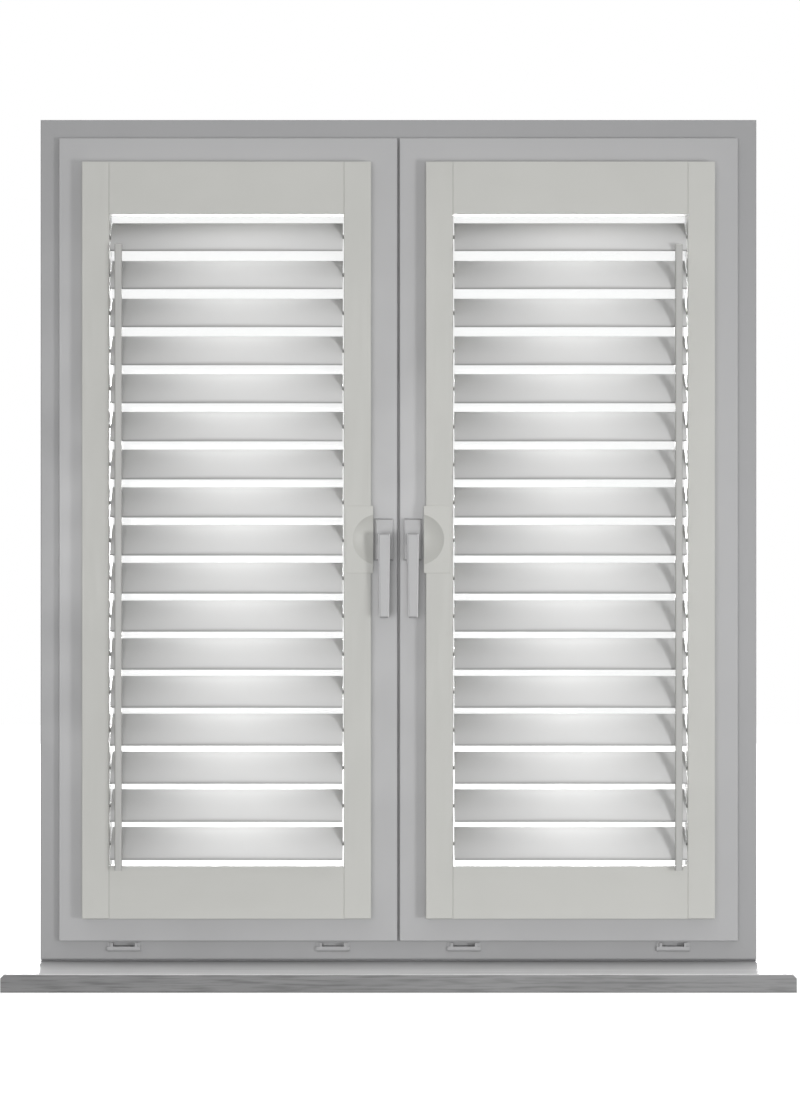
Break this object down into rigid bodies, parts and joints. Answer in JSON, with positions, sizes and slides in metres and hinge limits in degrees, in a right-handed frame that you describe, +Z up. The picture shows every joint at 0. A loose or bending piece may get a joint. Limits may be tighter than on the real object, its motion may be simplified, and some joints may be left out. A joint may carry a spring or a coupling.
{
  "type": "shuttered window",
  "caption": "Casement window frame with glazed sashes, each carrying a louvred shutter panel whose louvres tilt together on a front rod.",
  "frame": {"origin": "under the middle of the window board, in line with the room face of the fixed frame", "axes": "+X to the right seen from the room, +Y outdoors, +Z up"},
  "size_m": [1.168, 0.22, 1.3],
  "materials": {
    "frame_white": "satin white extrusion",
    "sash_white": "satin white extrusion",
    "cover_white": "satin moulding",
    "board_grey": "grey laminate with a fine streak",
    "hinge_steel": "zinc plated",
    "clear_glass": "clear",
    "handle_white": "satin powder coat",
    "panel_white": "satin paint",
    "recess_white": "satin moulding",
    "louvre_white": "satin paint",
    "rod_white": "satin paint"
  },
  "bodies": {
    "frame": {"window_frame": "frame_white", "window_board": "board_grey", "drain_covers": "cover_white", "frame_hinges": "hinge_steel"},
    "left_sash": {"left_sash": "sash_white", "left_sash_hinges": "hinge_steel", "left_glazing_unit": "clear_glass", "left_glazing_beads": "sash_white", "left_handle_plate": "handle_white", "left_meeting_stile": "panel_white", "left_hinge_stile": "panel_white", "left_rails": "panel_white", "left_handle_recess": "recess_white"},
    "left_handle": {"left_handle_lever": "handle_white"},
    "left_tilt_rod": {"left_tilt_rod": "rod_white"},
    "left_louvre_01": {"left_louvre_01": "louvre_white"},
    "left_louvre_02": {"left_louvre_02": "louvre_white"},
    "left_louvre_03": {"left_louvre_03": "louvre_white"},
    "left_louvre_04": {"left_louvre_04": "louvre_white"},
    "left_louvre_05": {"left_louvre_05": "louvre_white"},
    "left_louvre_06": {"left_louvre_06": "louvre_white"},
    "left_louvre_07": {"left_louvre_07": "louvre_white"},
    "left_louvre_08": {"left_louvre_08": "louvre_white"},
    "left_louvre_09": {"left_louvre_09": "louvre_white"},
    "left_louvre_10": {"left_louvre_10": "louvre_white"},
    "left_louvre_11": {"left_louvre_11": "louvre_white"},
    "left_louvre_12": {"left_louvre_12": "louvre_white"},
    "left_louvre_13": {"left_louvre_13": "louvre_white"},
    "left_louvre_14": {"left_louvre_14": "louvre_white"},
    "left_louvre_15": {"left_louvre_15": "louvre_white"},
    "left_louvre_16": {"left_louvre_16": "louvre_white"},
    "left_louvre_17": {"left_louvre_17": "louvre_white"},
    "right_sash": {"right_sash": "sash_white", "right_sash_hinges": "hinge_steel", "right_glazing_unit": "clear_glass", "right_glazing_beads": "sash_white", "right_handle_plate": "handle_white", "right_meeting_stile": "panel_white", "right_hinge_stile": "panel_white", "right_rails": "panel_white", "right_handle_recess": "recess_white"},
    "right_handle": {"right_handle_lever": "handle_white"},
    "right_tilt_rod": {"right_tilt_rod": "rod_white"},
    "right_louvre_01": {"right_louvre_01": "louvre_white"},
    "right_louvre_02": {"right_louvre_02": "louvre_white"},
    "right_louvre_03": {"right_louvre_03": "louvre_white"},
    "right_louvre_04": {"right_louvre_04": "louvre_white"},
    "right_louvre_05": {"right_louvre_05": "louvre_white"},
    "right_louvre_06": {"right_louvre_06": "louvre_white"},
    "right_louvre_07": {"right_louvre_07": "louvre_white"},
    "right_louvre_08": {"right_louvre_08": "louvre_white"},
    "right_louvre_09": {"right_louvre_09": "louvre_white"},
    "right_louvre_10": {"right_louvre_10": "louvre_white"},
    "right_louvre_11": {"right_louvre_11": "louvre_white"},
    "right_louvre_12": {"right_louvre_12": "louvre_white"},
    "right_louvre_13": {"right_louvre_13": "louvre_white"},
    "right_louvre_14": {"right_louvre_14": "louvre_white"},
    "right_louvre_15": {"right_louvre_15": "louvre_white"},
    "right_louvre_16": {"right_louvre_16": "louvre_white"},
    "right_louvre_17": {"right_louvre_17": "louvre_white"}
  },
  "joints": [
    {"name": "left_sash_swing", "type": "hinge", "parent": "frame", "child": "left_sash", "pos_m": [-0.5085, -0.0072, 0.665], "axis": [0, 0, -1], "range_deg": [0, 90]},
    {"name": "left_handle_turn", "type": "hinge", "parent": "left_sash", "child": "left_handle", "pos_m": [-0.0215, -0.013, 0.665], "axis": [0, 1, 0], "range_deg": [0, 90]},
    {"name": "left_louvre_01_tilt", "type": "hinge", "parent": "left_sash", "child": "left_louvre_01", "pos_m": [-0.258, -0.027, 1.12], "axis": [1, 0, 0], "range_deg": [-108, 16]},
    {"name": "left_louvre_02_tilt", "type": "hinge", "parent": "left_sash", "child": "left_louvre_02", "pos_m": [-0.258, -0.027, 1.063], "axis": [1, 0, 0], "range_deg": [-108, 16]},
    {"name": "left_louvre_03_tilt", "type": "hinge", "parent": "left_sash", "child": "left_louvre_03", "pos_m": [-0.258, -0.027, 1.006], "axis": [1, 0, 0], "range_deg": [-108, 16]},
    {"name": "left_louvre_04_tilt", "type": "hinge", "parent": "left_sash", "child": "left_louvre_04", "pos_m": [-0.258, -0.027, 0.949], "axis": [1, 0, 0], "range_deg": [-108, 16]},
    {"name": "left_louvre_05_tilt", "type": "hinge", "parent": "left_sash", "child": "left_louvre_05", "pos_m": [-0.258, -0.027, 0.892], "axis": [1, 0, 0], "range_deg": [-108, 16]},
    {"name": "left_louvre_06_tilt", "type": "hinge", "parent": "left_sash", "child": "left_louvre_06", "pos_m": [-0.258, -0.027, 0.835], "axis": [1, 0, 0], "range_deg": [-108, 16]},
    {"name": "left_louvre_07_tilt", "type": "hinge", "parent": "left_sash", "child": "left_louvre_07", "pos_m": [-0.258, -0.027, 0.778], "axis": [1, 0, 0], "range_deg": [-108, 16]},
    {"name": "left_louvre_08_tilt", "type": "hinge", "parent": "left_sash", "child": "left_louvre_08", "pos_m": [-0.258, -0.027, 0.721], "axis": [1, 0, 0], "range_deg": [-108, 16]},
    {"name": "left_louvre_09_tilt", "type": "hinge", "parent": "left_sash", "child": "left_louvre_09", "pos_m": [-0.258, -0.027, 0.664], "axis": [1, 0, 0], "range_deg": [-108, 16]},
    {"name": "left_louvre_10_tilt", "type": "hinge", "parent": "left_sash", "child": "left_louvre_10", "pos_m": [-0.258, -0.027, 0.607], "axis": [1, 0, 0], "range_deg": [-108, 16]},
    {"name": "left_louvre_11_tilt", "type": "hinge", "parent": "left_sash", "child": "left_louvre_11", "pos_m": [-0.258, -0.027, 0.55], "axis": [1, 0, 0], "range_deg": [-108, 16]},
    {"name": "left_louvre_12_tilt", "type": "hinge", "parent": "left_sash", "child": "left_louvre_12", "pos_m": [-0.258, -0.027, 0.493], "axis": [1, 0, 0], "range_deg": [-108, 16]},
    {"name": "left_louvre_13_tilt", "type": "hinge", "parent": "left_sash", "child": "left_louvre_13", "pos_m": [-0.258, -0.027, 0.436], "axis": [1, 0, 0], "range_deg": [-108, 16]},
    {"name": "left_louvre_14_tilt", "type": "hinge", "parent": "left_sash", "child": "left_louvre_14", "pos_m": [-0.258, -0.027, 0.379], "axis": [1, 0, 0], "range_deg": [-108, 16]},
    {"name": "left_louvre_15_tilt", "type": "hinge", "parent": "left_sash", "child": "left_louvre_15", "pos_m": [-0.258, -0.027, 0.322], "axis": [1, 0, 0], "range_deg": [-108, 16]},
    {"name": "left_louvre_16_tilt", "type": "hinge", "parent": "left_sash", "child": "left_louvre_16", "pos_m": [-0.258, -0.027, 0.265], "axis": [1, 0, 0], "range_deg": [-108, 16]},
    {"name": "left_louvre_17_tilt", "type": "hinge", "parent": "left_sash", "child": "left_louvre_17", "pos_m": [-0.258, -0.027, 0.208], "axis": [1, 0, 0], "range_deg": [-108, 16]},
    {"name": "left_rod_pivot", "type": "hinge", "parent": "left_louvre_09", "child": "left_tilt_rod", "pos_m": [-0.419, -0.05201, 0.6381], "axis": [1, 0, 0], "range_deg": [-16, 108]},
    {"name": "right_sash_swing", "type": "hinge", "parent": "frame", "child": "right_sash", "pos_m": [0.5085, -0.0072, 0.665], "axis": [0, 0, 1], "range_deg": [0, 90]},
    {"name": "right_handle_turn", "type": "hinge", "parent": "right_sash", "child": "right_handle", "pos_m": [0.0215, -0.013, 0.665], "axis": [0, -1, 0], "range_deg": [0, 90]},
    {"name": "right_louvre_01_tilt", "type": "hinge", "parent": "right_sash", "child": "right_louvre_01", "pos_m": [0.258, -0.027, 1.12], "axis": [1, 0, 0], "range_deg": [-108, 16]},
    {"name": "right_louvre_02_tilt", "type": "hinge", "parent": "right_sash", "child": "right_louvre_02", "pos_m": [0.258, -0.027, 1.063], "axis": [1, 0, 0], "range_deg": [-108, 16]},
    {"name": "right_louvre_03_tilt", "type": "hinge", "parent": "right_sash", "child": "right_louvre_03", "pos_m": [0.258, -0.027, 1.006], "axis": [1, 0, 0], "range_deg": [-108, 16]},
    {"name": "right_louvre_04_tilt", "type": "hinge", "parent": "right_sash", "child": "right_louvre_04", "pos_m": [0.258, -0.027, 0.949], "axis": [1, 0, 0], "range_deg": [-108, 16]},
    {"name": "right_louvre_05_tilt", "type": "hinge", "parent": "right_sash", "child": "right_louvre_05", "pos_m": [0.258, -0.027, 0.892], "axis": [1, 0, 0], "range_deg": [-108, 16]},
    {"name": "right_louvre_06_tilt", "type": "hinge", "parent": "right_sash", "child": "right_louvre_06", "pos_m": [0.258, -0.027, 0.835], "axis": [1, 0, 0], "range_deg": [-108, 16]},
    {"name": "right_louvre_07_tilt", "type": "hinge", "parent": "right_sash", "child": "right_louvre_07", "pos_m": [0.258, -0.027, 0.778], "axis": [1, 0, 0], "range_deg": [-108, 16]},
    {"name": "right_louvre_08_tilt", "type": "hinge", "parent": "right_sash", "child": "right_louvre_08", "pos_m": [0.258, -0.027, 0.721], "axis": [1, 0, 0], "range_deg": [-108, 16]},
    {"name": "right_louvre_09_tilt", "type": "hinge", "parent": "right_sash", "child": "right_louvre_09", "pos_m": [0.258, -0.027, 0.664], "axis": [1, 0, 0], "range_deg": [-108, 16]},
    {"name": "right_louvre_10_tilt", "type": "hinge", "parent": "right_sash", "child": "right_louvre_10", "pos_m": [0.258, -0.027, 0.607], "axis": [1, 0, 0], "range_deg": [-108, 16]},
    {"name": "right_louvre_11_tilt", "type": "hinge", "parent": "right_sash", "child": "right_louvre_11", "pos_m": [0.258, -0.027, 0.55], "axis": [1, 0, 0], "range_deg": [-108, 16]},
    {"name": "right_louvre_12_tilt", "type": "hinge", "parent": "right_sash", "child": "right_louvre_12", "pos_m": [0.258, -0.027, 0.493], "axis": [1, 0, 0], "range_deg": [-108, 16]},
    {"name": "right_louvre_13_tilt", "type": "hinge", "parent": "right_sash", "child": "right_louvre_13", "pos_m": [0.258, -0.027, 0.436], "axis": [1, 0, 0], "range_deg": [-108, 16]},
    {"name": "right_louvre_14_tilt", "type": "hinge", "parent": "right_sash", "child": "right_louvre_14", "pos_m": [0.258, -0.027, 0.379], "axis": [1, 0, 0], "range_deg": [-108, 16]},
    {"name": "right_louvre_15_tilt", "type": "hinge", "parent": "right_sash", "child": "right_louvre_15", "pos_m": [0.258, -0.027, 0.322], "axis": [1, 0, 0], "range_deg": [-108, 16]},
    {"name": "right_louvre_16_tilt", "type": "hinge", "parent": "right_sash", "child": "right_louvre_16", "pos_m": [0.258, -0.027, 0.265], "axis": [1, 0, 0], "range_deg": [-108, 16]},
    {"name": "right_louvre_17_tilt", "type": "hinge", "parent": "right_sash", "child": "right_louvre_17", "pos_m": [0.258, -0.027, 0.208], "axis": [1, 0, 0], "range_deg": [-108, 16]},
    {"name": "right_rod_pivot", "type": "hinge", "parent": "right_louvre_09", "child": "right_tilt_rod", "pos_m": [0.419, -0.05201, 0.6381], "axis": [1, 0, 0], "range_deg": [-16, 108]}
  ],
  "couplings": [
    {"joint": "left_louvre_01_tilt", "follows": "left_louvre_09_tilt", "ratio": 1},
    {"joint": "left_louvre_02_tilt", "follows": "left_louvre_09_tilt", "ratio": 1},
    {"joint": "left_louvre_03_tilt", "follows": "left_louvre_09_tilt", "ratio": 1},
    {"joint": "left_louvre_04_tilt", "follows": "left_louvre_09_tilt", "ratio": 1},
    {"joint": "left_louvre_05_tilt", "follows": "left_louvre_09_tilt", "ratio": 1},
    {"joint": "left_louvre_06_tilt", "follows": "left_louvre_09_tilt", "ratio": 1},
    {"joint": "left_louvre_07_tilt", "follows": "left_louvre_09_tilt", "ratio": 1},
    {"joint": "left_louvre_08_tilt", "follows": "left_louvre_09_tilt", "ratio": 1},
    {"joint": "left_louvre_10_tilt", "follows": "left_louvre_09_tilt", "ratio": 1},
    {"joint": "left_louvre_11_tilt", "follows": "left_louvre_09_tilt", "ratio": 1},
    {"joint": "left_louvre_12_tilt", "follows": "left_louvre_09_tilt", "ratio": 1},
    {"joint": "left_louvre_13_tilt", "follows": "left_louvre_09_tilt", "ratio": 1},
    {"joint": "left_louvre_14_tilt", "follows": "left_louvre_09_tilt", "ratio": 1},
    {"joint": "left_louvre_15_tilt", "follows": "left_louvre_09_tilt", "ratio": 1},
    {"joint": "left_louvre_16_tilt", "follows": "left_louvre_09_tilt", "ratio": 1},
    {"joint": "left_louvre_17_tilt", "follows": "left_louvre_09_tilt", "ratio": 1},
    {"joint": "left_rod_pivot", "follows": "left_louvre_09_tilt", "ratio": -1},
    {"joint": "right_louvre_01_tilt", "follows": "right_louvre_09_tilt", "ratio": 1},
    {"joint": "right_louvre_02_tilt", "follows": "right_louvre_09_tilt", "ratio": 1},
    {"joint": "right_louvre_03_tilt", "follows": "right_louvre_09_tilt", "ratio": 1},
    {"joint": "right_louvre_04_tilt", "follows": "right_louvre_09_tilt", "ratio": 1},
    {"joint": "right_louvre_05_tilt", "follows": "right_louvre_09_tilt", "ratio": 1},
    {"joint": "right_louvre_06_tilt", "follows": "right_louvre_09_tilt", "ratio": 1},
    {"joint": "right_louvre_07_tilt", "follows": "right_louvre_09_tilt", "ratio": 1},
    {"joint": "right_louvre_08_tilt", "follows": "right_louvre_09_tilt", "ratio": 1},
    {"joint": "right_louvre_10_tilt", "follows": "right_louvre_09_tilt", "ratio": 1},
    {"joint": "right_louvre_11_tilt", "follows": "right_louvre_09_tilt", "ratio": 1},
    {"joint": "right_louvre_12_tilt", "follows": "right_louvre_09_tilt", "ratio": 1},
    {"joint": "right_louvre_13_tilt", "follows": "right_louvre_09_tilt", "ratio": 1},
    {"joint": "right_louvre_14_tilt", "follows": "right_louvre_09_tilt", "ratio": 1},
    {"joint": "right_louvre_15_tilt", "follows": "right_louvre_09_tilt", "ratio": 1},
    {"joint": "right_louvre_16_tilt", "follows": "right_louvre_09_tilt", "ratio": 1},
    {"joint": "right_louvre_17_tilt", "follows": "right_louvre_09_tilt", "ratio": 1},
    {"joint": "right_rod_pivot", "follows": "right_louvre_09_tilt", "ratio": -1}
  ]
}
